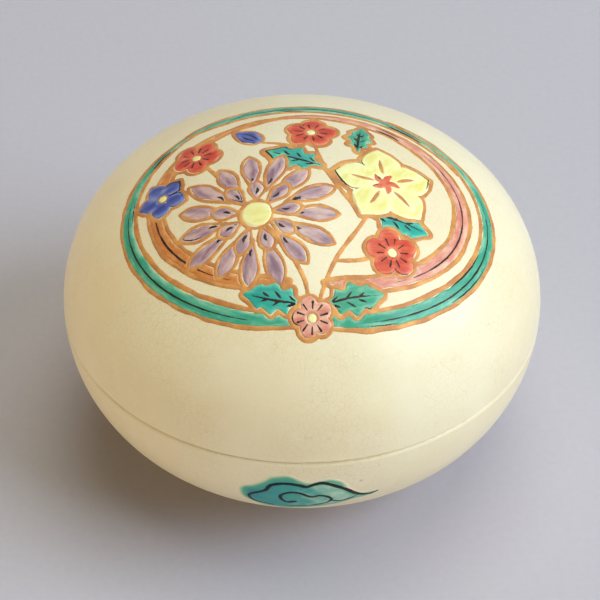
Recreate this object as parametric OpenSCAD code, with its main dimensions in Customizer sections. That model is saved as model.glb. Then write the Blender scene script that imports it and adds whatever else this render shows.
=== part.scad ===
// Round lidded incense box: a thrown stoneware bowl on a turned foot ring,
// and a domed lid that drops over an upright lip inside the bowl's rim.
// Millimetres. The origin is the centre of the foot ring on the table, +Z is up.

/* [Box] */
// Outside diameter, measured at the seam between lid and body
box_d = 70; // [56:0.5:90]
// Depth of the body's outside below the seam, without the foot
body_depth = 23; // [23:0.5:32]
// Radius of the body's shoulder, from the seam round towards the underside
body_shoulder_r = 22.5; // [14:0.5:22.5]

/* [Lid] */
// Height of the lid's crown above the seam
lid_rise = 25; // [22:0.5:34]
// Radius of the lid's shoulder, where the side turns over into the crown
lid_shoulder_r = 20.5; // [12:0.5:24]
// Thickness of the lid's wall
lid_wall = 2.8; // [2:0.1:4]

/* [Seat] */
// Height of the lip that stands up inside the rim and centres the lid
lip_h = 2.6; // [1.5:0.1:5]
// Thickness of the lip
lip_t = 1.6; // [1:0.1:2.5]
// Gap all round between the lip and the lid
lip_clearance = 0.3; // [0.15:0.05:0.6]
// Gap above the lip inside the lid
lip_headroom = 0.4; // [0.2:0.1:1]
// Rounding of the lid's glazed edge at the seam
lid_edge_r = 0.35; // [0.1:0.05:0.6]
// Rounding of the body's glazed edge at the seam
body_edge_r = 0.7; // [0.2:0.05:1.4]

/* [Floor and foot] */
// Thickness of the bowl's floor above the recess in the foot
floor_t = 3.2; // [2.2:0.1:4]
// Outside diameter of the foot ring
foot_d = 38; // [30:0.5:44]
// Width of the foot ring
foot_w = 3; // [2:0.1:5]
// How far the foot holds the body's underside off the table
foot_lift = 0.5; // [0.3:0.1:3]
// Depth of the recess inside the foot ring
foot_recess = 1.3; // [0.6:0.1:1.6]
// Rounding of the foot ring's edges
foot_edge_r = 0.5; // [0.2:0.05:0.8]

/* [Hidden] */
$fn = 96;

box_r = box_d / 2;
foot_r = foot_d / 2;
seam_h = foot_lift + body_depth;

// The lip stands one clearance inside the lid's wall.
lid_inner_r = box_r - lid_wall;
lip_outer_r = lid_inner_r - lip_clearance;
lip_inner_r = lip_outer_r - lip_t;

// The bowl is flush with the inside of the lip, and keeps that wall down the side.
body_wall = box_r - lip_inner_r;
bowl_depth = seam_h - foot_recess - floor_t;
bowl_shoulder_r = body_shoulder_r - body_wall;

// The lip's top edges are eased, and so is the corner of the foot's recess.
lip_ease_r = lip_t / 3;
recess_corner_r = (foot_recess - foot_edge_r) / 2;

// How far a cut or a join reaches past the face that it meets.
overcut = 1;
// How far one of two tangent arcs is set off from the other where they meet, so that
// they cross at one clean edge. Too little to see or feel.
arc_lap = 0.001;

// Crown radius of an arch with half-width w, rise h and shoulders of radius s.
function crown_r(w, h, s) = ((w - s) ^ 2 + h ^ 2 - s ^ 2) / (2 * (h - s));

// Right half of a three-centre arch that stands on the x axis: its shoulder
// leaves the axis upright and runs tangent into the crown.
module half_arch(w, h, s) {
    c = crown_r(w, h, s);
    reach = 2 * (w + c);
    // Slope of the line through both centres, on which the two arcs meet.
    join = atan2(c - h, w - s);
    intersection() {
        square([w + overcut, h + overcut]);
        union() {
            translate([w - s, 0])
                circle(r = s);
            translate([0, h - c])
                intersection() {
                    circle(r = c - arc_lap);
                    polygon([[0, 0], reach * [cos(join), sin(join)], [0, reach]]);
                }
        }
    }
}

// What a rounding of radius r takes off the foot of such an arch: it leaves the x axis
// flat and runs tangent into the shoulder.
module arch_foot_waste(w, s, r) {
    reach = 2 * r;
    // Slope of the line through both centres, on which the two arcs meet.
    join = asin(r / (s - r));
    translate([w - s + (s - r) * cos(join), r])
        difference() {
            polygon([[0, 0], reach * [cos(join), sin(join)], [reach, -reach], [0, -reach]]);
            circle(r = r + arc_lap);
        }
}

// What a rounding of radius r takes off a square corner that points to +x and +y.
module corner_waste(r) {
    translate([-r, -r])
        difference() {
            square(r + overcut);
            circle(r = r);
        }
}

// Half-section of the lid, standing on the seam plane.
module lid_section() {
    difference() {
        half_arch(box_r, lid_rise, lid_shoulder_r);
        half_arch(lid_inner_r, lid_rise - lid_wall, lid_shoulder_r - lid_wall);
        // Straight-sided socket for the body's lip.
        translate([0, -overcut])
            square([lid_inner_r, overcut + lip_h + lip_headroom]);
        arch_foot_waste(box_r, lid_shoulder_r, lid_edge_r);
    }
}

// Outside of the body below the seam, carried on the foot.
module body_outline() {
    translate([0, seam_h])
        mirror([0, 1])
            half_arch(box_r, body_depth, body_shoulder_r);
    square([foot_r, seam_h / 2]);
}

// The upright lip, with both of its top edges eased.
module lip_outline() {
    lip_bottom = seam_h - overcut;
    lip_top = seam_h + lip_h;
    difference() {
        translate([lip_inner_r, lip_bottom])
            square([lip_t, lip_top - lip_bottom]);
        translate([lip_outer_r, lip_top])
            corner_waste(lip_ease_r);
        translate([lip_inner_r, lip_top])
            mirror([1, 0])
                corner_waste(lip_ease_r);
    }
}

// Recess inside the foot ring, with its upper corner rounded.
module recess_outline() {
    difference() {
        translate([0, -overcut])
            square([foot_r - foot_w, overcut + foot_recess]);
        translate([foot_r - foot_w, foot_recess])
            corner_waste(recess_corner_r);
    }
}

// Half-section of the body, standing on the table.
module body_section() {
    difference() {
        union() {
            body_outline();
            lip_outline();
        }
        translate([0, seam_h])
            mirror([0, 1])
                half_arch(lip_inner_r, bowl_depth, bowl_shoulder_r);
        translate([0, seam_h])
            mirror([0, 1])
                arch_foot_waste(box_r, body_shoulder_r, body_edge_r);
        recess_outline();
        translate([foot_r, 0])
            mirror([0, 1])
                corner_waste(foot_edge_r);
        translate([foot_r - foot_w, 0])
            rotate(180)
                corner_waste(foot_edge_r);
    }
}

module lid() {
    color([0.93, 0.88, 0.74])
        translate([0, 0, seam_h])
            rotate_extrude()
                lid_section();
}

module body() {
    color([0.91, 0.85, 0.70])
        rotate_extrude()
            body_section();
}

body();
lid();
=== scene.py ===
import math

import bpy
import numpy as np
from mathutils import Matrix, Vector


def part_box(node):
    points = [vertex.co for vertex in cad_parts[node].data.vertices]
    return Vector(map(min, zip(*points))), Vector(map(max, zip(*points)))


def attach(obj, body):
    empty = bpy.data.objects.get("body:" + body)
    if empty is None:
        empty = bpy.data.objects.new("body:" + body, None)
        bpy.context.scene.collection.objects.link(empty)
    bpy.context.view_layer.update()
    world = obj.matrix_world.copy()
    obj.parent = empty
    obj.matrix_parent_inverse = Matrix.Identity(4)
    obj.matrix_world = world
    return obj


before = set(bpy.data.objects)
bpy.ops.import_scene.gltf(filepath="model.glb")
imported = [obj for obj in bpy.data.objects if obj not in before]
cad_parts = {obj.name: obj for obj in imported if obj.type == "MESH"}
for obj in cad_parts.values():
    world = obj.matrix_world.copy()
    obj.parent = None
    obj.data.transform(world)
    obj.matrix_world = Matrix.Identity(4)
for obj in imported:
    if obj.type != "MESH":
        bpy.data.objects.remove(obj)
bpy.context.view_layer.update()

# Sizes are in millimetres and become metres where a mesh or a material is made. The studio is in metres.
MM = 0.001
TINY = 1e-12

# Outside of the box: its width, seam and lid from the frame, and the other sizes of its section
lid_low, lid_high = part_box("lid")
BOX_R = (lid_high.x - lid_low.x) / 2 / MM
SEAM_Z = lid_low.z / MM
LID_RISE = (lid_high.z - lid_low.z) / MM
LID_SHOULDER_R = 20.5
BODY_DEPTH = 23.0
BODY_SHOULDER_R = 22.5

# The seat and the foot, where the clay is left bare
LIP_INNER_R = 30.3
SOCKET_R = 32.2
SOCKET_TOP_Z = SEAM_Z + 3.0
BODY_EDGE_R = 0.7
LID_EDGE_R = 0.35
FOOT_INNER_R = 16.0
# The two ends of each fade between glaze and clay, as heights or radii
FOOT_FADE_Z = (0.4, 0.7)
RECESS_FADE_R = (FOOT_INNER_R - 1.0, FOOT_INNER_R - 0.6)
SEAT_FADE_Z = (SEAM_Z - 0.45, SEAM_Z - 0.33)
SEAT_FADE_R = (BOX_R - BODY_EDGE_R - 0.3, BOX_R - BODY_EDGE_R - 0.1)
BOWL_FADE_R = (LIP_INNER_R - 0.3, LIP_INNER_R)
SOCKET_FADE_Z = (SOCKET_TOP_Z - 0.1, SOCKET_TOP_Z + 0.25)
SOCKET_FADE_R = (SOCKET_R, SOCKET_R + 0.15)
RIM_FADE_Z = (SEAM_Z + 0.3, SEAM_Z + 0.42)
RIM_FADE_R = (BOX_R - LID_EDGE_R - 0.3, BOX_R - LID_EDGE_R - 0.1)

# Painted lines and enamels: line width, how far each stands proud, and the round and sinking of its edge
LINE_W = 0.74
LINE_H = 0.05
ENAMEL_H = 0.09
INK_H = 0.02
WASH_H = 0.04
EDGE_ROUND = 0.3
SUNK = 0.03
# How much more a colour swells where it is deep, as a share, and how far inside its edge that is reached
SWELL = 0.18
SWELL_REACH = 1.5
# How far a line laps over the colour beside it, and how far the colour is set in and may slip aside
LINE_LAP = 0.18
FILL_INSET = 0.1
FILL_SLIP = 0.12
# The dark line that shows along a gold one in places: its width, how much of it is missing, and its inset
UNDERLINE_W = 0.34
UNDERLINE_GAP = 0.15
UNDERLINE_INSET = 0.1
# Grids on which colours, ink and the cloud are laid, the smallest island that is kept, in square mm,
# and the depth of a place where nothing is laid
CELL = 0.16
INK_CELL = 0.1
CLOUD_CELL = 0.12
SMALLEST_ISLAND = 0.2
FAR_OUT = 9.0
# Room that is left round a shape and a line on the grid, and how close a cut comes to a grid point
SHAPE_MARGIN = 1.2
LINE_MARGIN = 1.0
CUT_RANGE = (0.06, 0.94)
# How far apart the brush strokes of two shapes lie in the pattern of streaks
BRUSH_STEP = 10.0

# Unevenness of the hand, each as a size and a wavelength. Sizes of widths and swells are shares.
EDGE_HAND = (0.06, 3.0)
WIDTH_HAND = (0.18, 7.0)
FILL_HAND = (0.1, 2.2)
STROKE_HAND = (0.04, 2.5)
SWELL_HAND = (0.08, 2.8)
UNDERLINE_HAND = (1.0, 11.0)
CLOUD_HAND = (0.06, 2.4)
# Waves that make it up, the spread of their lengths, and what brings their sum to about 1
WAVES = 7
WAVE_SPREAD = (0.6, 1.7)
WAVE_SUM = 4
# Seeds: what is added to a shape's own for its line's width and its colour, and those of the rest
WIDTH_SEED = 500
FILL_SEED = 900
SWELL_SEED = 77
CLOUD_SEED = 3

# The roundel on the lid: an ellipse laid out by distance along the dome from the pole
ROUNDEL = (0.9, -6.1)
ROUNDEL_RU = 28.5
ROUNDEL_RV = 23.8


class Arch:
    """Outside of a turned half: a shoulder arc up from the seam, and a crown arc over the axis."""

    def __init__(self, half_width, rise, shoulder):
        self.rise = rise
        self.shoulder = shoulder
        self.neck = half_width - shoulder
        self.crown = (self.neck**2 + rise**2 - shoulder**2) / (2 * (rise - shoulder))
        self.join_tilt = math.asin(self.neck / (self.crown - shoulder))
        self.join_arc = self.crown * self.join_tilt
        self.seam_arc = self.join_arc + shoulder * (math.pi / 2 - self.join_tilt)

    def at(self, arc):
        """Radius, height over the seam and tilt of the surface, by distance from the pole along it."""
        on_crown = arc < self.join_arc
        tilt = np.where(on_crown, arc / self.crown, self.join_tilt + (arc - self.join_arc) / self.shoulder)
        over_crown = self.rise - self.crown * (1 - np.cos(tilt))
        radius = np.where(on_crown, self.crown * np.sin(tilt), self.neck + self.shoulder * np.sin(tilt))
        height = np.where(on_crown, over_crown, self.shoulder * np.cos(tilt))
        return radius, height, tilt


LID = Arch(BOX_R, LID_RISE, LID_SHOULDER_R)
BODY = Arch(BOX_R, BODY_DEPTH, BODY_SHOULDER_R)


def on_lid(u, v, lift):
    """Point of the lid's outside: u to the right and v to the back along the dome, from its pole."""
    arc = np.maximum(np.hypot(u, v), TINY)
    radius, height, tilt = LID.at(arc)
    reach = (radius + lift * np.sin(tilt)) / arc
    return np.stack([u * reach, v * reach, SEAM_Z + height + lift * np.cos(tilt)], -1) * MM


def on_body(u, v, lift):
    """Point of the body's outside: u to the right of the front, and v up along the wall from the seam."""
    radius, height, tilt = BODY.at(BODY.seam_arc + v)
    turn = u / BOX_R - math.pi / 2
    reach = radius + lift * np.sin(tilt)
    z = SEAM_Z - height - lift * np.cos(tilt)
    return np.stack([reach * np.cos(turn), reach * np.sin(turn), z], -1) * MM


def smooth(points, closed=False, per_span=8):
    """A smooth curve through a few points."""
    points = np.array(points, float)
    if closed:
        before, after, last = np.roll(points, 1, 0), np.roll(points, -1, 0), np.roll(points, -2, 0)
        spans = zip(before, points, after, last)
    else:
        ends = np.vstack([2 * points[0] - points[1], points, 2 * points[-1] - points[-2]])
        spans = zip(ends, ends[1:], ends[2:], ends[3:])
    t = np.linspace(0, 1, per_span, endpoint=False)[:, None]
    curve = [
        b + t * (c - a) / 2 + t**2 * (a - 2.5 * b + 2 * c - d / 2) + t**3 * (1.5 * (b - c) + (d - a) / 2)
        for a, b, c, d in spans
    ]
    return np.vstack(curve if closed else curve + [points[-1:]])


def placed(points, at, turn=0.0, size=1.0):
    """Points turned by degrees, scaled and moved."""
    c, s = math.cos(math.radians(turn)), math.sin(math.radians(turn))
    return np.array(points, float) @ np.array([[c, s], [-s, c]]) * size + np.array(at)


def wobble(u, v, hand, seed):
    """Smooth unevenness of a hand-drawn edge. hand is its size and its wavelength."""
    size, wavelength = hand
    rng = np.random.default_rng(seed)
    total = np.zeros(np.shape(u))
    for _ in range(WAVES):
        heading = rng.uniform(0, 2 * math.pi)
        pace = 2 * math.pi / (wavelength * rng.uniform(*WAVE_SPREAD))
        along = u * math.cos(heading) + v * math.sin(heading)
        total += np.sin(pace * along + rng.uniform(0, 2 * math.pi))
    return size * (total / WAVE_SUM)


def polygon_depth(u, v, outline):
    """Distance to a closed outline, positive inside it."""
    nearest = np.full(u.shape, np.inf)
    inside = np.zeros(u.shape, bool)
    for (au, av), (bu, bv) in zip(outline, np.roll(outline, -1, 0)):
        du, dv = bu - au, bv - av
        t = np.clip(((u - au) * du + (v - av) * dv) / max(du * du + dv * dv, TINY), 0, 1)
        nearest = np.minimum(nearest, np.hypot(u - au - t * du, v - av - t * dv))
        crosses = (av > v) != (bv > v)
        inside ^= crosses & (u < au + (v - av) * du / (dv if abs(dv) > TINY else TINY))
    return np.where(inside, nearest, -nearest)


def joined_depth(u, v, outlines):
    """Distance to the edge of overlapping outlines taken as one, positive inside."""
    return np.max([polygon_depth(u, v, outline) for outline in outlines], axis=0)


def stroke_depth(u, v, path, width):
    """How deep a point lies in a brush line along a path whose width varies."""
    deepest = np.full(u.shape, -FAR_OUT)
    half = np.broadcast_to(np.array(width, float) / 2, len(path))
    for a, b, half_a, half_b in zip(path, path[1:], half, half[1:]):
        du, dv = b - a
        t = np.clip(((u - a[0]) * du + (v - a[1]) * dv) / max(du * du + dv * dv, TINY), 0, 1)
        off = np.hypot(u - a[0] - t * du, v - a[1] - t * dv)
        deepest = np.maximum(deepest, half_a + t * (half_b - half_a) - off)
    return deepest


class Painting:
    """Colours laid on a grid, each as its depth inside its own edge. Later shapes cover earlier ones."""

    def __init__(self, low, high, cell, place, ink=None):
        self.low, self.cell, self.place, self.ink = low, cell, place, ink
        self.u, self.v = np.meshgrid(np.arange(low[0], high[0], cell), np.arange(low[1], high[1], cell))
        self.depth = {}
        self.brush = np.zeros(self.u.shape + (3,))
        self.laid = 0

    def colour(self, name):
        return self.depth.setdefault(name, np.full(self.u.shape, -FAR_OUT))

    def window(self, points, margin):
        """The part of the grid round some points."""
        low = (np.min(points, 0) - margin - self.low) / self.cell
        high = (np.max(points, 0) + margin - self.low) / self.cell
        first, last = np.maximum(low, 0).astype(int), np.maximum(high, 0).astype(int) + 1
        return slice(first[1], last[1]), slice(first[0], last[0])

    def lay(self, name, part, depth):
        colour = self.colour(name)
        colour[part] = np.maximum(colour[part], depth)

    def clear(self, part, depth):
        """Takes every colour laid so far away from under a shape, but for a lap at its edge."""
        for colour in self.depth.values():
            colour[part] = np.minimum(colour[part], LINE_LAP - depth)

    def shape(self, name, outlines, flow, line=LINE_W):
        """An enamel colour inside joined outlines, brushed along flow, with a gold line round it."""
        self.laid += 1
        rng = np.random.default_rng(self.laid)
        part = self.window(np.vstack(outlines), line + SHAPE_MARGIN)
        u, v = self.u[part], self.v[part]
        edge = joined_depth(u, v, outlines) + wobble(u, v, EDGE_HAND, self.laid)
        line_w = line * (1 + wobble(u, v, WIDTH_HAND, self.laid + WIDTH_SEED))
        self.clear(part, edge + line_w - LINE_LAP)
        slip = rng.uniform(-FILL_SLIP, FILL_SLIP, 2)
        fill = joined_depth(u - slip[0], v - slip[1], outlines) - FILL_INSET
        self.lay(name, part, fill + wobble(u, v, FILL_HAND, self.laid + FILL_SEED))
        self.lay("gold", part, line_w / 2 - np.abs(edge + line_w / 2 - LINE_LAP))
        local = np.stack([*flow(u, v), np.full(u.shape, BRUSH_STEP * self.laid)], -1)
        self.brush[part] = np.where((edge > -line)[..., None], local, self.brush[part])
        if self.ink:
            self.ink.underline(outlines, line, self.laid)

    def underline(self, outlines, line, seed):
        """Hides the ink under a shape laid on top, and shows some along the inside of its gold line."""
        part = self.window(np.vstack(outlines), line)
        u, v = self.u[part], self.v[part]
        edge = joined_depth(u, v, outlines)
        self.clear(part, edge + line)
        width = UNDERLINE_W * (wobble(u, v, UNDERLINE_HAND, seed) - UNDERLINE_GAP)
        self.lay("ink", part, width / 2 - np.abs(edge - LINE_LAP - UNDERLINE_INSET))

    def line(self, name, path, width, cover=False):
        """A brush line along a path, which may cover what lies under it."""
        self.laid += 1
        path = np.array(path, float)
        part = self.window(path, np.max(width) + LINE_MARGIN)
        u, v = self.u[part], self.v[part]
        depth = stroke_depth(u, v, path, width) + wobble(u, v, STROKE_HAND, self.laid)
        if cover:
            self.clear(part, depth)
        self.lay(name, part, depth)

    def lift(self, name, height):
        """How far a colour stands proud at each grid point: a rounded edge, then a slow swell."""
        depth = np.maximum(self.depth[name], 0)
        rounded = np.sqrt(1 - (1 - np.minimum(depth / EDGE_ROUND, 1)) ** 2)
        deep = np.minimum(depth / SWELL_REACH, 1)
        return height * rounded * (1 + SWELL * deep + wobble(self.u, self.v, SWELL_HAND, SWELL_SEED))


def islands(inside):
    """A number for each joined island of a grid."""
    outside = inside.size
    number = np.where(inside, np.arange(outside).reshape(inside.shape), outside)
    while True:
        least = number.copy()
        least[1:] = np.minimum(least[1:], number[:-1])
        least[:-1] = np.minimum(least[:-1], number[1:])
        least[:, 1:] = np.minimum(least[:, 1:], number[:, :-1])
        least[:, :-1] = np.minimum(least[:, :-1], number[:, 1:])
        least = np.where(inside, least, outside)
        least = np.append(least, outside)[least]
        if (least == number).all():
            return number
        number = least


def without_specks(depth, cell):
    """The depths of a colour with its smallest islands taken away."""
    number = islands(depth > 0)
    size = np.bincount(number.ravel()) * cell**2
    return np.where(size[number] < SMALLEST_ISLAND, np.minimum(depth, -cell / 4), depth)


def cut_grid(depth):
    """Corners, as row and column, and faces of the part of a grid where depth is over zero.

    The corners on its edge come last, and their count is given too.
    """
    inside = depth > 0
    number = np.full(depth.shape, -1)
    number[inside] = np.arange(inside.sum())
    corners = list(np.argwhere(inside).astype(float))
    ways = ((0, 0), (0, 1), (1, 1), (1, 0))
    rows, columns = depth.shape
    held = [inside[r : rows - 1 + r, c : columns - 1 + c] for r, c in ways]
    count = np.sum(held, axis=0)
    full = [number[r : rows - 1 + r, c : columns - 1 + c][count == len(ways)] for r, c in ways]
    faces = np.stack(full, -1).tolist()
    cuts = {}

    def cut(near, far):
        if (near, far) not in cuts:
            share = np.clip(depth[near] / (depth[near] - depth[far]), *CUT_RANGE)
            cuts[near, far] = len(corners)
            corners.append(np.array(near) + share * (np.array(far) - np.array(near)))
        return cuts[near, far]

    for row, column in np.argwhere((count > 0) & (count < len(ways))):
        ring = [(row + r, column + c) for r, c in ways]
        face = []
        for here, there in zip(ring, ring[1:] + ring[:1]):
            if inside[here]:
                face.append(number[here])
            if inside[here] != inside[there]:
                face.append(cut(here, there) if inside[here] else cut(there, here))
        faces.append(face)
    return np.array(corners), faces, len(cuts)


def raised(painting, name, height, piece, body, material, base=None, reach=1.0):
    """A colour of a painting as a raised skin that follows the clay, or base's height where it lies on one.

    The pool attribute rises from 0 at the colour's edge to 1 at reach inside it.
    """
    painting.depth[name] = without_specks(painting.depth[name], painting.cell)
    corners, faces, cut_count = cut_grid(painting.depth[name])
    row, column = corners.T
    near = np.rint(row).astype(int), np.rint(column).astype(int)
    u, v = painting.low[0] + column * painting.cell, painting.low[1] + row * painting.cell
    lift = painting.lift(name, height)[near]
    pool = np.clip(painting.depth[name][near] / reach, 0, 1)
    if cut_count:
        lift[-cut_count:] = -SUNK
        pool[-cut_count:] = 0
    if base is not None:
        lift = lift + base(u, v)
    mesh = bpy.data.meshes.new(piece)
    mesh.from_pydata(painting.place(u, v, lift).tolist(), [], faces)
    mesh.polygons.foreach_set("use_smooth", [True] * len(mesh.polygons))
    mesh.attributes.new("pool", "FLOAT", "POINT").data.foreach_set("value", pool.astype(np.float32))
    brush = painting.brush[near].astype(np.float32)
    mesh.attributes.new("brush", "FLOAT_VECTOR", "POINT").data.foreach_set("vector", brush.ravel())
    mesh.materials.append(material)
    made = bpy.data.objects.new(piece, mesh)
    bpy.context.scene.collection.objects.link(made)
    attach(made, body)


def height_of(painting, heights):
    """A function that gives how far the colours of a painting stand proud at given places."""
    stack = np.max([painting.lift(name, height) for name, height in heights.items()], axis=0)
    # just inside the last cell, so that the next point is still on the grid
    last_row, last_column = np.array(stack.shape) - 1.001

    def at(u, v):
        row = np.clip((v - painting.low[1]) / painting.cell, 0, last_row)
        column = np.clip((u - painting.low[0]) / painting.cell, 0, last_column)
        r, c = row.astype(int), column.astype(int)
        up, on = row - r, column - c
        near = stack[r, c] * (1 - on) + stack[r, c + 1] * on
        far = stack[r + 1, c] * (1 - on) + stack[r + 1, c + 1] * on
        return near * (1 - up) + far * up

    return at


# Motifs, each about its own origin

# Petals of a flower, the turn from one to the next, the first one's heading, and points of an outline
PETALS = 5
PETAL_TURN = 360 / PETALS
FIRST_PETAL = 90
PETAL_POINTS = 15
DISC_POINTS = 24
# The power that fills out a lens-shaped petal, and a round one's radius as a share of its flower's
PETAL_FULLNESS = 0.8
ROUND_PETAL = 0.44
# A grass blade: points along it, how fast it comes to its last inset, and the powers that shape its width
BLADE_POINTS = 40
BLADE_SETTLE = 5
BLADE_BELLY = 0.62
BLADE_FULLNESS = 0.7
# Shares of a brush line's length over which it swells and thins
TAPER_IN = 0.25
TAPER_OUT = 0.4


def petal(length, width, start=0.0, belly=0.62):
    """Lens-shaped petal along +u, widest at a share of its length."""
    t = np.linspace(0, 1, PETAL_POINTS)
    half = width / 2 * np.sin(math.pi * t ** (math.log(0.5) / math.log(belly))) ** PETAL_FULLNESS
    along = start + (length - start) * t
    return np.vstack([np.stack([along, half], -1), np.stack([along, -half], -1)[-2:0:-1]])


def lobed_leaf():
    """Half-lobed leaf, 10 long, along +u."""
    side = [(0, 0.35), (1.6, 0.8), (2.2, 2.3), (3.7, 1.7), (4.7, 2.9), (6.3, 1.9), (7.2, 2.2), (8.6, 1.1)]
    tip = [(10.0, 0.0)]
    return smooth(side + tip + [(u, -v) for u, v in reversed(side)], closed=True, per_span=4)


def disc(radius):
    t = np.linspace(0, 2 * math.pi, DISC_POINTS, endpoint=False)
    return np.stack([np.cos(t), np.sin(t)], -1) * radius


def flower(one_petal):
    """A petal along +u, repeated round the middle."""
    return [placed(one_petal, (0, 0), FIRST_PETAL + PETAL_TURN * k) for k in range(PETALS)]


def round_flower(radius):
    """Round petals."""
    return flower(disc(radius * ROUND_PETAL) + [radius * (1 - ROUND_PETAL), 0])


def pointed_flower(radius):
    """Broad petals that end in a point."""
    side = [(0, 0.0), (0.25, 0.24), (0.55, 0.40), (0.8, 0.26), (1.0, 0.0)]
    outline = smooth(side, per_span=5)
    return flower(np.vstack([outline, (outline * [1, -1])[-2:0:-1]]) * radius)


def brushed(heading):
    """Brushed in one direction: how far along and across its strokes a place lies."""
    c, s = math.cos(math.radians(heading)), math.sin(math.radians(heading))
    return lambda u, v: (u * c + v * s, v * c - u * s)


def round_rim(u, v):
    """Brushed round the roundel."""
    x, y = (u - ROUNDEL[0]) / ROUNDEL_RU, (v - ROUNDEL[1]) / ROUNDEL_RV
    return np.arctan2(x, y) * ROUNDEL_RU, np.hypot(x, y) * ROUNDEL_RU


def rim_point(angle, inset):
    """Point inside the roundel's rim, by its angle round the middle."""
    t = np.radians(angle)
    u = ROUNDEL[0] + (ROUNDEL_RU - inset) * np.cos(t)
    v = ROUNDEL[1] + (ROUNDEL_RV - inset) * np.sin(t)
    return np.stack([u, v], -1)


def blade(start, end, inset_start, inset_end, width):
    """Long grass blade that follows the rim of the roundel: its outline and its midrib."""
    share = np.linspace(0, 1, BLADE_POINTS)
    inset = inset_end + (inset_start - inset_end) * (1 - share) ** BLADE_SETTLE
    rib = rim_point(start + (end - start) * share, inset)
    ahead = np.gradient(rib, axis=0)
    ahead /= np.linalg.norm(ahead, axis=1)[:, None]
    side = np.stack([-ahead[:, 1], ahead[:, 0]], -1)
    half = (width / 2 * np.sin(math.pi * share**BLADE_BELLY) ** BLADE_FULLNESS)[:, None]
    return np.vstack([rib + side * half, (rib - side * half)[-2:0:-1]]), rib


def taper(count, width, start=0.35, end=0.15):
    """Widths of a brush line that swells in the middle, with its ends as shares of its width."""
    t = np.linspace(0, 1, count)
    swelling = start + (1 - start) * np.minimum(t / TAPER_IN, 1)
    thinning = end + (1 - end) * np.minimum((1 - t) / TAPER_OUT, 1)
    return width * swelling * thinning


# The roundel

LID_FIELD = ((-31.0, -33.0), (32.0, 22.0))
lid_ink = Painting(*LID_FIELD, INK_CELL, on_lid)
lid_paint = Painting(*LID_FIELD, CELL, on_lid, ink=lid_ink)

BLADES = [
    # colour, start and end angle round the roundel, inset from its rim at both, width
    ("pink", -84, 104, 8.5, 6.0, 2.3),
    ("orange", -98, -258, 8.5, 6.2, 2.2),
    ("green", -86, -240, 3.4, 1.8, 2.4),
    ("green", -94, 64, 3.4, 1.8, 2.4),
    ("green", -228, -330, 1.2, 3.0, 2.0),
]
# Ink on each blade: the stretch of its midrib, how far it is moved, and its width
BLADE_INK = slice(5, 30)
BLADE_INK_SHIFT = (0.0, -0.25)
BLADE_INK_W = 0.34
for colour, *course in BLADES:
    outline, rib = blade(*course)
    lid_paint.shape(colour, [outline], round_rim)
    path = rib[BLADE_INK] + BLADE_INK_SHIFT
    lid_ink.line("ink", path, taper(len(path), BLADE_INK_W))

STEMS = [
    [(1.2, -26.0), (0.3, -21.0), (-2.5, -16.0), (-6.5, -10.5)],
    [(1.8, -26.0), (4.5, -18.0), (8.5, -11.0), (11.0, -3.5)],
    [(4.5, -18.0), (8.0, -17.5), (12.5, -15.5)],
    [(8.5, -11.0), (3.5, -3.0), (1.0, 5.0)],
    [(-6.5, -10.5), (-12.0, -2.5), (-15.5, 3.0)],
    [(3.5, -3.0), (-1.0, 2.5), (-6.5, 4.5)],
]
STEM_W = 0.7
STEM_ENDS = (0.8, 0.7)
for stem in STEMS:
    path = smooth(stem)
    lid_paint.line("gold", path, taper(len(path), STEM_W, *STEM_ENDS), cover=True)

LEAVES = [
    # colour, base, heading, size
    ("turquoise", (0.2, -24.6), 168, 0.88),
    ("green", (3.0, -24.6), 16, 0.9),
    ("turquoise", (2.6, -1.5), 156, 0.9),
    ("green", (7.6, 2.5), 84, 0.7),
    ("turquoise", (9.4, -9.6), -10, 0.88),
]
LEAF_RIB = [(0.4, 0.0), (4.5, 0.25), (9.2, 0.0)]
LEAF_RIB_W = 0.4
# How far along the leaf each pair of veins ends, and its reach to the side
VEINS = [(2.6, 1.0), (4.9, 1.3), (6.9, 0.9)]
VEIN_W = 0.36
for colour, base, heading, size in LEAVES:
    lid_paint.shape(colour, [placed(lobed_leaf(), base, heading, size)], brushed(heading))
    rib = smooth(LEAF_RIB)
    lid_ink.line("ink", placed(rib, base, heading, size), taper(len(rib), LEAF_RIB_W))
    for along, reach in VEINS:
        for side in (1, -1):
            points = [(along - 1.3, 0.2), (along - 0.5, reach * 0.6), (along + 0.1, reach)]
            vein = smooth([(u, v * side) for u, v in points])
            lid_ink.line("ink", placed(vein, base, heading, size), taper(len(vein), VEIN_W))

MUM = (-6.5, -10.5)
MUM_RINGS = [
    # petals, inner and outer radius, width, turn
    (15, 4.4, 11.4, 2.4, 0.0),
    (9, 2.4, 6.4, 2.1, 9.0),
]
MUM_LINE_W = 0.6
MUM_EYE_R = 2.2
# How much its petals differ in length, as a share, and how fast that changes from one to the next
MUM_UNEVEN = 0.06
MUM_UNEVEN_PACE = 2.3
# Touch of ink in each petal, from the petal's inner end
MUM_TOUCH = np.array([(1.2, 0.1), (1.9, -0.1), (2.5, 0.05)])
MUM_TOUCH_W = 0.46
for count, inner, outer, width, turn in MUM_RINGS:
    for k in range(count):
        heading = turn + 360 * k / count
        stretch = 1 + MUM_UNEVEN * math.sin(MUM_UNEVEN_PACE * k)
        outline = placed(petal(outer * stretch, width, inner), MUM, heading)
        lid_paint.shape("mauve", [outline], brushed(heading), line=MUM_LINE_W)
        touch = smooth(MUM_TOUCH + [inner, 0.0])
        lid_ink.line("ink", placed(touch, MUM, heading), taper(len(touch), MUM_TOUCH_W))
lid_paint.shape("yellow", [disc(MUM_EYE_R) + MUM], brushed(0), line=MUM_LINE_W)

BELL = (11.5, -3.5)
BELL_R = 7.6
BELL_TURN = 8
BELL_BRUSH = 60
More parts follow.
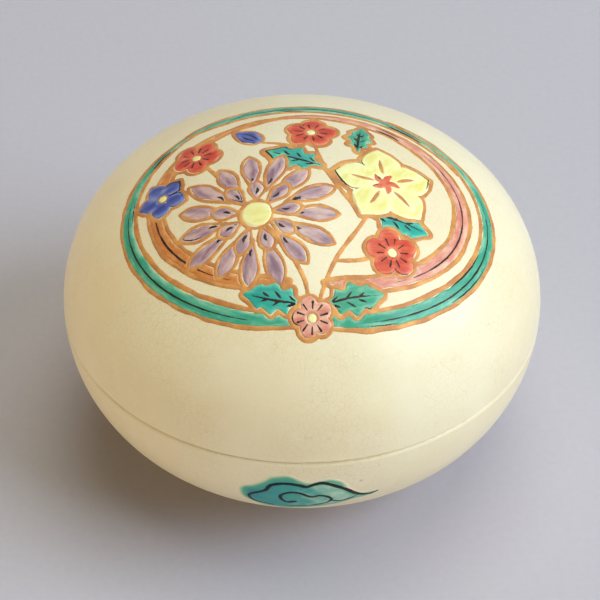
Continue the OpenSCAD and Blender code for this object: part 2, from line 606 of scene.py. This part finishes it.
# Gold vein along each petal, and red spot between two, with their widths
BELL_VEIN = [(1.6, 0.0), (3.6, 0.15), (5.6, 0.0)]
BELL_VEIN_W = 0.75
BELL_SPOT = [(0.2, 0.0), (1.0, 0.3), (1.9, 0.1)]
BELL_SPOT_W = 1.1
BELL_SPOT_ENDS = (0.7, 0.5)
lid_paint.shape("yellow", [placed(o, BELL, BELL_TURN) for o in pointed_flower(BELL_R)], brushed(BELL_BRUSH))
for k in range(PETALS):
    heading = FIRST_PETAL + BELL_TURN + PETAL_TURN * k
    vein = smooth(BELL_VEIN)
    lid_paint.line("gold", placed(vein, BELL, heading), taper(len(vein), BELL_VEIN_W), cover=True)
    spot = smooth(BELL_SPOT)
    widths = taper(len(spot), BELL_SPOT_W, *BELL_SPOT_ENDS)
    lid_paint.line("red", placed(spot, BELL, heading - PETAL_TURN / 2), widths, cover=True)

BLOSSOMS = [
    # colour, centre, radius, turn
    ("red", (12.6, -15.6), 3.9, 10),
    ("red", (-15.5, 3.2), 3.7, 40),
    ("red", (1.0, 6.6), 3.8, -8),
    ("pink", (1.5, -26.4), 3.1, 18),
]
BLOSSOM_LINE_W = 0.66
BLOSSOM_EYE_R = 0.75
EYE_LINE_W = 0.35
STAMENS = 10
STAMEN = [(1.2, 0.0), (2.2, 0.0)]
STAMEN_W = [0.22, 0.36]
for colour, at, radius, turn in BLOSSOMS:
    petals = [placed(o, at, turn) for o in round_flower(radius)]
    lid_paint.shape(colour, petals, brushed(turn), line=BLOSSOM_LINE_W)
    lid_paint.shape("yellow", [disc(BLOSSOM_EYE_R) + at], brushed(0), line=EYE_LINE_W)
    for k in range(STAMENS):
        lid_ink.line("ink", placed(STAMEN, at, turn + 360 / STAMENS * k), STAMEN_W)

BLUE_FLOWER = (-20.3, -4.0)
BLUE_FLOWER_R = 4.0
BLUE_FLOWER_TURN = 30
BLUE_FLOWER_BRUSH = 20
BLUE_LINE_W = 0.62
BLUE_EYE_R = 0.7
petals = [placed(o, BLUE_FLOWER, BLUE_FLOWER_TURN) for o in pointed_flower(BLUE_FLOWER_R)]
lid_paint.shape("blue", petals, brushed(BLUE_FLOWER_BRUSH), line=BLUE_LINE_W)
lid_paint.shape("yellow", [disc(BLUE_EYE_R) + BLUE_FLOWER], brushed(0), line=EYE_LINE_W)

BUD = (-6.0, 4.3)
BUD_HEADING = 138
BUD_LENGTH = 5.4
BUD_W = 3.0
BUD_BELLY = 0.45
BUD_CREASE_W = 0.34
bud = placed(petal(BUD_LENGTH, BUD_W, belly=BUD_BELLY), BUD, BUD_HEADING)
lid_paint.shape("blue", [bud], brushed(BUD_HEADING), line=BLUE_LINE_W)
for side in (0.5, -0.5):
    crease = smooth([(0.8, side * 0.4), (2.4, side), (4.2, side * 0.5)])
    lid_ink.line("ink", placed(crease, BUD, BUD_HEADING), taper(len(crease), BUD_CREASE_W))

# The cloud on the body's front

CLOUD_FIELD = ((-12.0, -17.0), (14.0, -1.0))
CLOUD_WASH = [
    (-8.9, -9.6), (-8.7, -6.6), (-6.7, -5.2), (-5.3, -4.0), (-4.1, -2.9), (-2.4, -2.3), (-0.7, -2.6),
    (0.9, -3.8), (2.5, -3.6), (4.2, -3.2), (6.0, -4.1), (7.2, -6.2), (8.8, -8.2), (11.6, -8.7),
    (10.4, -10.4), (8.2, -11.0), (5.4, -12.6), (2.0, -13.8), (-2.0, -14.6), (-5.0, -14.0), (-7.6, -11.8),
]
CLOUD_TOP = [
    (11.5, -9.2), (10.4, -9.6), (8.6, -8.7), (6.2, -6.2), (3.6, -4.4), (2.2, -4.5), (1.0, -5.2),
    (0.0, -4.8), (-2.0, -4.4), (-4.0, -5.1), (-5.0, -6.8), (-7.0, -8.4), (-7.5, -9.8), (-6.6, -11.6),
    (-4.0, -12.6),
]
CLOUD_SCROLL = [
    (-0.9, -10.1), (-1.6, -10.7), (-2.6, -9.6), (-2.7, -7.9), (-1.4, -6.9), (0.0, -7.0), (1.7, -8.3),
    (2.9, -7.9), (4.2, -8.6), (4.7, -9.8), (3.8, -11.2), (1.6, -12.2), (-1.4, -12.8),
]
CLOUD_TAIL = [(4.8, -10.2), (6.3, -10.7), (7.4, -10.1), (8.7, -9.1)]
# Each brush line of the cloud with its width
CLOUD_LINES = [(CLOUD_TOP, 0.78), (CLOUD_SCROLL, 0.66), (CLOUD_TAIL, 0.55)]
CLOUD_LINE_ENDS = (0.9, 0.6)
CLOUD_DOT = [(-1.3, -10.4), (-0.8, -10.2)]
CLOUD_DOT_W = 1.0
# How far inside its edge the wash has its full colour
WASH_REACH = 2.2
cloud_paint = Painting(*CLOUD_FIELD, CLOUD_CELL, on_body)
wash = smooth(CLOUD_WASH, closed=True)
part = cloud_paint.window(wash, LINE_MARGIN)
cloud_u, cloud_v = cloud_paint.u[part], cloud_paint.v[part]
wash_depth = polygon_depth(cloud_u, cloud_v, wash) + wobble(cloud_u, cloud_v, CLOUD_HAND, CLOUD_SEED)
cloud_paint.lay("wash", part, wash_depth)
cloud_paint.brush[part] = np.stack([cloud_u, cloud_v, 0 * cloud_u], -1)
for points, width in CLOUD_LINES:
    path = smooth(points)
    cloud_paint.line("ink", path, taper(len(path), width, *CLOUD_LINE_ENDS))
cloud_paint.line("ink", CLOUD_DOT, CLOUD_DOT_W)


# Nodes that the materials are built from


def new_material(name):
    made = bpy.data.materials.new(name)
    made.use_nodes = True
    return made, made.node_tree, made.node_tree.nodes["Principled BSDF"]


def put(tree, kind, inputs=None, **settings):
    """A node with its settings, and its inputs set or linked."""
    node = tree.nodes.new("ShaderNode" + kind)
    for key, value in settings.items():
        setattr(node, key, value)
    for key, value in (inputs or {}).items():
        if isinstance(value, bpy.types.NodeSocket):
            tree.links.new(value, node.inputs[key])
        else:
            node.inputs[key].default_value = value
    return node


def dress(shader, **values):
    """Sets a shader's own sockets, or links them. An underscore in a name stands for a space."""
    for key, value in values.items():
        socket = shader.inputs[key.replace("_", " ")]
        if isinstance(value, bpy.types.NodeSocket):
            shader.id_data.links.new(value, socket)
        else:
            socket.default_value = value


def sums(tree, operation, a, b):
    return put(tree, "Math", {0: a, 1: b}, operation=operation).outputs[0]


def ramp(tree, value, low, high, start=0.0, end=1.0):
    """Smooth step of a value from start to end."""
    inputs = {"Value": value, "From Min": low, "From Max": high, "To Min": start, "To Max": end}
    return put(tree, "MapRange", inputs, interpolation_type="SMOOTHSTEP").outputs[0]


def rising(tree, value, low, high):
    """0 below low and 1 above high, both in millimetres."""
    return ramp(tree, value, low * MM, high * MM)


def falling(tree, value, low, high, start=1.0):
    """start below low and 0 above high, both in millimetres."""
    return ramp(tree, value, low * MM, high * MM, start, 0.0)


def mixed(tree, factor, a, b):
    return put(tree, "Mix", {0: factor, 6: a, 7: b}, data_type="RGBA").outputs[2]


def stops(tree, value, colours):
    """Evenly spaced colours, mixed by a value from 0 to 1."""
    node = put(tree, "ValToRGB", {"Fac": value})
    marks = node.color_ramp.elements
    while len(marks) < len(colours):
        marks.new(0.5)
    for k, (mark, colour) in enumerate(zip(marks, colours)):
        mark.position = k / (len(colours) - 1)
        mark.color = colour
    return node.outputs["Color"]


def noise(tree, vector, scale, detail=3.0, rough=0.5, output="Fac"):
    inputs = {"Vector": vector, "Scale": scale, "Detail": detail, "Roughness": rough}
    return put(tree, "TexNoise", inputs).outputs[output]


def bump(tree, height, strength, distance, normal=None):
    """Bumps of a height, with their depth in millimetres, over another normal if one is given."""
    inputs = {"Strength": strength, "Distance": distance * MM, "Height": height}
    if normal is not None:
        inputs["Normal"] = normal
    return put(tree, "Bump", inputs).outputs[0]


def object_place(tree):
    return put(tree, "TexCoord").outputs["Object"]


def attribute(tree, name, output):
    return put(tree, "Attribute", attribute_name=name).outputs[output]


def rgb(red, green, blue):
    """A colour as it looks, 0 to 255, as the shader's linear values."""
    shares = [channel / 255 for channel in (red, green, blue)]
    linear = [s / 12.92 if s < 0.04045 else ((s + 0.055) / 1.055) ** 2.4 for s in shares]
    return (*linear, 1.0)


# Materials

IVORY = rgb(240, 229, 197)
IVORY_DEEP = rgb(235, 220, 183)
IVORY_PALE = rgb(243, 235, 207)
# thin glaze at the seam, also darkened there as painted shade of the seam's line
THIN_GLAZE_AND_SEAM_SHADE = rgb(204, 172, 116)
CRACKLE_STAIN = rgb(190, 158, 104)
IRON_SPECK = rgb(150, 118, 78)
CLAY_DARK = rgb(196, 168, 128)
CLAY_PALE = rgb(222, 200, 162)
# Crackle: how far its lines bend, both nets as cells per metre and line width in cells,
# the finer one's share, and the strength of the stain in them
CRACKLE_BEND = 0.7
CRACKLE_NETS = [(1050.0, 0.05), (2100.0, 0.06)]
CRACKLE_FINE = 0.6
CRACKLE_STRENGTH = 0.28
# Iron specks: cells per metre, where a speck fades out in its cell, how bright a cell's random colour is
# that holds one, and the strength of a speck's colour
SPECK_SCALE = 210.0
SPECK_FADE = (0.03, 0.09)
SPECK_RARE = 0.86
SPECK_STRENGTH = 0.5
# Distances from the seam over which the thin glaze there and the painted shade of the seam's line fade out,
# and the strength of their colour
SEAM_THIN_AND_SHADE = (0.05, 0.3)
SEAM_THIN_AND_SHADE_STRENGTH = 0.25
# How far the edge of the glaze wanders, and how much rougher bare clay is
RAGGED = 0.5
CLAY_ROUGHER = 0.55
# Pattern cells per millimetre along and across a brush stroke, and from one shape to the next
STREAK_SCALE = (0.26, 0.8, 1.0)


def crackle_net(tree, where):
    """Two nets of fine bent lines, which show more in some patches than in others."""
    bend = noise(tree, where, scale=600.0, detail=2.0, output="Color")
    nudge = put(tree, "VectorMath", {0: bend, 1: [CRACKLE_BEND * MM] * 3}, operation="MULTIPLY").outputs[0]
    spot = put(tree, "VectorMath", {0: where, 1: nudge}, operation="ADD").outputs[0]
    nets = []
    for scale, line in CRACKLE_NETS:
        cell = put(tree, "TexVoronoi", {"Vector": spot, "Scale": scale}, feature="DISTANCE_TO_EDGE")
        nets.append(ramp(tree, cell.outputs["Distance"], 0.0, line, start=1.0, end=0.0))
    both = sums(tree, "MAXIMUM", nets[0], sums(tree, "MULTIPLY", nets[1], CRACKLE_FINE))
    patches = ramp(tree, noise(tree, where, scale=90.0), 0.35, 0.7, start=0.25, end=1.0)
    return sums(tree, "MULTIPLY", both, patches)


def iron_specks(tree, where):
    """Small round specks in a few of the cells."""
    cell = put(tree, "TexVoronoi", {"Vector": where, "Scale": SPECK_SCALE})
    speck = ramp(tree, cell.outputs["Distance"], *SPECK_FADE, start=1.0, end=0.0)
    rare = sums(tree, "GREATER_THAN", cell.outputs["Color"], SPECK_RARE)
    return sums(tree, "MULTIPLY", speck, rare)


def glaze(name, bare_clay):
    """Crackled ivory glaze. bare_clay gives where the clay shows, by height, radius and unevenness."""
    made, tree, shader = new_material(name)
    where = object_place(tree)
    x, y, height = put(tree, "SeparateXYZ", {0: where}).outputs
    level = put(tree, "CombineXYZ", {0: x, 1: y}).outputs[0]
    radius = put(tree, "VectorMath", {0: level}, operation="LENGTH").outputs["Value"]

    cloudy = ramp(tree, noise(tree, where, scale=55.0), 0.3, 0.7)
    tone = mixed(tree, cloudy, IVORY, IVORY_DEEP)
    mottle = ramp(tree, noise(tree, where, scale=420.0, detail=4.0), 0.45, 0.8, end=0.3)
    tone = mixed(tree, mottle, tone, IVORY_PALE)
    crackle = crackle_net(tree, where)
    tone = mixed(tree, sums(tree, "MULTIPLY", crackle, CRACKLE_STRENGTH), tone, CRACKLE_STAIN)
    specks = sums(tree, "MULTIPLY", iron_specks(tree, where), SPECK_STRENGTH)
    tone = mixed(tree, specks, tone, IRON_SPECK)
    # the seam: glaze that breaks thin at its edge, with painted shade that darkens the line between lid and
    # body
    off_seam = sums(tree, "ABSOLUTE", sums(tree, "SUBTRACT", height, SEAM_Z * MM), 0.0)
    tone = mixed(tree, falling(tree, off_seam, *SEAM_THIN_AND_SHADE, start=SEAM_THIN_AND_SHADE_STRENGTH), tone, THIN_GLAZE_AND_SEAM_SHADE)

    grain = noise(tree, where, scale=2600.0, detail=5.0, rough=0.7)
    clay = mixed(tree, ramp(tree, grain, 0.3, 0.7), CLAY_DARK, CLAY_PALE)
    wander = sums(tree, "SUBTRACT", noise(tree, where, scale=300.0), 0.5)
    bare = bare_clay(tree, height, radius, sums(tree, "MULTIPLY", wander, RAGGED * MM))

    dull = ramp(tree, noise(tree, where, scale=700.0), 0.3, 0.75, start=0.30, end=0.38)
    skin = noise(tree, where, scale=480.0, detail=2.0)
    dips = sums(tree, "SUBTRACT", skin, sums(tree, "MULTIPLY", crackle, 0.5))
    waves = bump(tree, dips, strength=0.05, distance=0.2)
    dress(
        shader,
        Base_Color=mixed(tree, bare, tone, clay),
        Roughness=sums(tree, "ADD", sums(tree, "MULTIPLY", bare, CLAY_ROUGHER), dull),
        Normal=bump(tree, grain, strength=bare, distance=0.12, normal=waves),
    )
    return made


def bare_body(tree, height, radius, ragged):
    """Foot ring, and the upright lip with its seat."""
    uneven_height = sums(tree, "ADD", height, ragged)
    uneven_radius = sums(tree, "ADD", radius, ragged)
    foot = falling(tree, uneven_height, *FOOT_FADE_Z)
    at_foot = sums(tree, "MULTIPLY", foot, rising(tree, radius, *RECESS_FADE_R))
    seat = rising(tree, uneven_height, *SEAT_FADE_Z)
    inside_edge = falling(tree, uneven_radius, *SEAT_FADE_R)
    outside_bowl = rising(tree, radius, *BOWL_FADE_R)
    at_seat = sums(tree, "MULTIPLY", sums(tree, "MULTIPLY", seat, inside_edge), outside_bowl)
    return sums(tree, "MAXIMUM", at_foot, at_seat)


def bare_lid(tree, height, radius, ragged):
    """Flat rim, and the socket inside it."""
    uneven_height = sums(tree, "ADD", height, ragged)
    uneven_radius = sums(tree, "ADD", radius, ragged)
    low = falling(tree, uneven_height, *SOCKET_FADE_Z)
    in_socket = sums(tree, "MULTIPLY", low, falling(tree, radius, *SOCKET_FADE_R))
    rim = falling(tree, uneven_height, *RIM_FADE_Z)
    at_rim = sums(tree, "MULTIPLY", rim, falling(tree, uneven_radius, *RIM_FADE_R))
    return sums(tree, "MAXIMUM", in_socket, at_rim)


def enamel(name, colours, streaks):
    """Glassy colour, laid with a brush: paler where it is thin, deeper where it pools."""
    made, tree, shader = new_material(name)
    brush = attribute(tree, "brush", "Vector")
    drawn = put(tree, "VectorMath", {0: brush, 1: STREAK_SCALE}, operation="MULTIPLY").outputs[0]
    streak = ramp(tree, noise(tree, drawn, scale=1.0, rough=0.55), 0.3, 0.72, end=streaks)
    pool = ramp(tree, attribute(tree, "pool", "Fac"), 0.0, 1.0, end=1 - streaks)
    ripple = noise(tree, object_place(tree), scale=900.0, detail=2.0)
    dress(
        shader,
        Base_Color=stops(tree, sums(tree, "ADD", streak, pool), colours),
        Normal=bump(tree, ripple, strength=0.08, distance=0.2),
        Roughness=0.26,
        Specular_IOR_Level=0.35,
    )
    return made


def cloud_wash():
    """Thin colour that fades out into the glaze at its edge: bluer on the left, mint on the right."""
    made, tree, shader = new_material("cloud_wash")
    brush = attribute(tree, "brush", "Vector")
    across = put(tree, "SeparateXYZ", {0: brush}).outputs[0]
    side = sums(tree, "ADD", sums(tree, "MULTIPLY", across, 0.06), noise(tree, brush, scale=0.5))
    tone = stops(tree, side, [rgb(38, 138, 150), rgb(62, 161, 152), rgb(192, 224, 194)])
    pool = attribute(tree, "pool", "Fac")
    fringe = mixed(tree, ramp(tree, pool, 0.3, 0.8), rgb(84, 172, 142), tone)
    dress(
        shader,
        Base_Color=mixed(tree, ramp(tree, pool, 0.0, 0.38), rgb(238, 227, 192), fringe),
        Roughness=0.36,
        Specular_IOR_Level=0.3,
    )
    return made


def gold_line():
    """Gold painted over brown, worn thin in places."""
    made, tree, shader = new_material("gold_line")
    where = object_place(tree)
    worn = noise(tree, where, scale=380.0, detail=5.0, rough=0.65)
    dress(
        shader,
        Base_Color=mixed(tree, ramp(tree, worn, 0.35, 0.7), rgb(186, 120, 62), rgb(222, 160, 84)),
        Metallic=0.12,
        Roughness=ramp(tree, worn, 0.3, 0.75, start=0.55, end=0.4),
        Normal=bump(tree, noise(tree, where, scale=1500.0), strength=0.15, distance=0.1),
    )
    return made


def ink_line(name, dark, thin):
    """Dark iron line under a thin film of glass, from its dark colour to where it is thin."""
    made, tree, shader = new_material(name)
    uneven = noise(tree, object_place(tree), scale=700.0, detail=4.0)
    dress(
        shader,
        Base_Color=mixed(tree, ramp(tree, uneven, 0.3, 0.75), dark, thin),
        Roughness=0.42,
        Specular_IOR_Level=0.2,
    )
    return made


ENAMELS = {
    # colours from thin to pooled, share of streaks
    "green": ([rgb(142, 202, 168), rgb(72, 166, 136), rgb(44, 146, 116)], 0.6),
    "turquoise": ([rgb(122, 204, 176), rgb(48, 172, 154), rgb(34, 146, 140)], 0.55),
    "mauve": ([rgb(222, 188, 176), rgb(184, 150, 156), rgb(128, 94, 116)], 0.8),
    "yellow": ([rgb(248, 244, 196), rgb(244, 238, 164), rgb(234, 224, 128)], 0.7),
    "red": ([rgb(234, 136, 98), rgb(214, 82, 54), rgb(188, 54, 36)], 0.6),
    "orange": ([rgb(226, 160, 94), rgb(206, 130, 66), rgb(180, 100, 46)], 0.7),
    "pink": ([rgb(238, 192, 168), rgb(224, 152, 130), rgb(204, 120, 102)], 0.75),
    "blue": ([rgb(140, 152, 204), rgb(84, 98, 176), rgb(56, 68, 148)], 0.6),
}
materials = {name: enamel(name + "_enamel", *look) for name, look in ENAMELS.items()}
materials["wash"] = cloud_wash()
materials["gold"] = gold_line()
materials["ink"] = ink_line("ink_line", rgb(26, 24, 22), rgb(66, 52, 44))
materials["cloud_ink"] = ink_line("cloud_ink", rgb(10, 20, 17), rgb(24, 40, 34))

# The finished box: glaze on both halves, and the paintings raised on them

for node, bare_clay in (("lid", bare_lid), ("body", bare_body)):
    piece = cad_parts[node]
    piece.data.materials.clear()
    piece.data.materials.append(glaze(node + "_glaze", bare_clay))

lid_heights = {name: LINE_H if name == "gold" else ENAMEL_H for name in lid_paint.depth}
for name, height in lid_heights.items():
    piece = "lid_gold_lines" if name == "gold" else f"lid_{name}_enamel"
    raised(lid_paint, name, height, piece, "lid", materials[name])
on_paint = height_of(lid_paint, lid_heights)
raised(lid_ink, "ink", INK_H, "lid_ink_lines", "lid", materials["ink"], base=on_paint)

raised(
    cloud_paint, "wash", WASH_H, "body_cloud_wash", "body", materials["wash"],
    reach=WASH_REACH,
)
on_wash = height_of(cloud_paint, {"wash": WASH_H})
raised(
    cloud_paint, "ink", INK_H, "body_cloud_lines", "body", materials["cloud_ink"],
    base=on_wash,
)


# Studio, in metres: the floor, the backdrop that it runs out into, and the lamps

FLOOR_HALF = 3.0
FLOOR_FADE = (0.3, 0.9)
FLOOR_TONES = (rgb(188, 183, 194), rgb(196, 191, 201))
BACKDROP = rgb(190, 190, 197)
ROOM_GLOW = (1.0, 0.95, 0.88, 1.0)
ROOM_GLOW_STRENGTH = 0.01
LAMP_AIM = (0.0, 0.0, 0.025)
LAMPS = [
    # name, place, width, height, power in watts, tint, and whether the glaze mirrors it
    ("key", (1.0, -0.25, 0.78), 0.9, 0.9, 16.6, (0.76, 0.88, 1.0), True),
    ("top", (0.14, 0.16, 1.35), 1.0, 1.0, 7.8, (1.0, 1.0, 0.77), True),
    ("back", (0.2, 0.7, 1.15), 1.0, 1.0, 3.4, (0.97, 0.98, 1.0), True),
    # low reflectors, which brighten the wall that turns to the floor
    ("fill", (-1.05, -0.15, 0.10), 1.3, 0.08, 5.5, (1.0, 0.77, 0.43), False),
    ("front", (0.2, -1.05, 0.05), 1.2, 0.08, 2.3, (1.0, 0.9, 0.62), False),
    ("side", (0.8, -0.7, 0.05), 1.2, 0.08, 1.5, (0.97, 0.97, 0.95), False),
]


def seen(tree):
    """1 where the surroundings are seen, straight or mirrored, and 0 where they would light the object."""
    path = put(tree, "LightPath").outputs
    mirrored = sums(tree, "MAXIMUM", path["Is Glossy Ray"], path["Is Transmission Ray"])
    return sums(tree, "MAXIMUM", path["Is Camera Ray"], mirrored)


def floor():
    """Pale paper that runs out into the backdrop's colour well away from the object."""
    corners = [(x * FLOOR_HALF, y * FLOOR_HALF, 0) for x, y in ((-1, -1), (1, -1), (1, 1), (-1, 1))]
    mesh = bpy.data.meshes.new("floor")
    mesh.from_pydata(corners, [], [(0, 1, 2, 3)])
    made, tree, shader = new_material("floor_paper")
    where = object_place(tree)
    dress(shader, Base_Color=mixed(tree, noise(tree, where, scale=900.0), *FLOOR_TONES), Roughness=0.9)
    away = put(tree, "VectorMath", {0: where}, operation="LENGTH").outputs["Value"]
    share = sums(tree, "MULTIPLY", seen(tree), ramp(tree, away, *FLOOR_FADE))
    beyond = put(tree, "Emission", {"Color": BACKDROP})
    both = put(tree, "MixShader", {0: share, 1: shader.outputs[0], 2: beyond.outputs[0]})
    tree.links.new(both.outputs[0], tree.nodes["Material Output"].inputs["Surface"])
    mesh.materials.append(made)
    plane = bpy.data.objects.new("floor", mesh)
    bpy.context.scene.collection.objects.link(plane)


def lamp(name, at, width, height, power, tint, mirrored):
    """Soft rectangular lamp, turned to the box."""
    data = bpy.data.lights.new(name, "AREA")
    data.shape = "RECTANGLE"
    data.size = width
    data.size_y = height
    data.energy = power
    data.color = tint
    made = bpy.data.objects.new(name, data)
    made.location = at
    made.rotation_euler = (Vector(LAMP_AIM) - Vector(at)).to_track_quat("-Z", "Y").to_euler()
    made.visible_glossy = mirrored
    bpy.context.scene.collection.objects.link(made)


def room():
    """Faint warm light from all round, and the pale backdrop where it is seen."""
    world = bpy.data.worlds.new("studio")
    world.use_nodes = True
    tree = world.node_tree
    faint = put(tree, "Background", {"Color": ROOM_GLOW, "Strength": ROOM_GLOW_STRENGTH})
    pale = put(tree, "Background", {"Color": BACKDROP, "Strength": 1.0})
    both = put(tree, "MixShader", {0: seen(tree), 1: faint.outputs[0], 2: pale.outputs[0]})
    tree.links.new(both.outputs[0], tree.nodes["World Output"].inputs["Surface"])
    bpy.context.scene.world = world


floor()
for light in LAMPS:
    lamp(*light)
room()

# Camera: its angle above the level, roll and distance from the seam's centre, and that centre's pixel
CAMERA_RISE = 41.6
CAMERA_ROLL = 0.7
CAMERA_DISTANCE = 315.0
LENS_MM = 128.1
SENSOR_MM = 36.0
PICTURE = 600
SEAM_CENTRE_PX = (302.1, 292.2)
NEAREST = 0.01
camera_data = bpy.data.cameras.new("camera")
camera_data.sensor_width = SENSOR_MM
camera_data.lens = LENS_MM
camera_data.shift_x = (PICTURE / 2 - SEAM_CENTRE_PX[0]) / PICTURE
camera_data.shift_y = (SEAM_CENTRE_PX[1] - PICTURE / 2) / PICTURE
camera_data.clip_start = NEAREST
camera = bpy.data.objects.new("camera", camera_data)
rise = math.radians(CAMERA_RISE)
stand = Vector((0.0, -CAMERA_DISTANCE * math.cos(rise), SEAM_Z + CAMERA_DISTANCE * math.sin(rise))) * MM
look_down = Matrix.Rotation(math.pi / 2 - rise, 4, "X")
roll = Matrix.Rotation(math.radians(CAMERA_ROLL), 4, "Z")
camera.matrix_world = Matrix.Translation(stand) @ look_down @ roll
bpy.context.scene.collection.objects.link(camera)
bpy.context.scene.camera = camera
bpy.context.scene.view_settings.view_transform = "Standard"
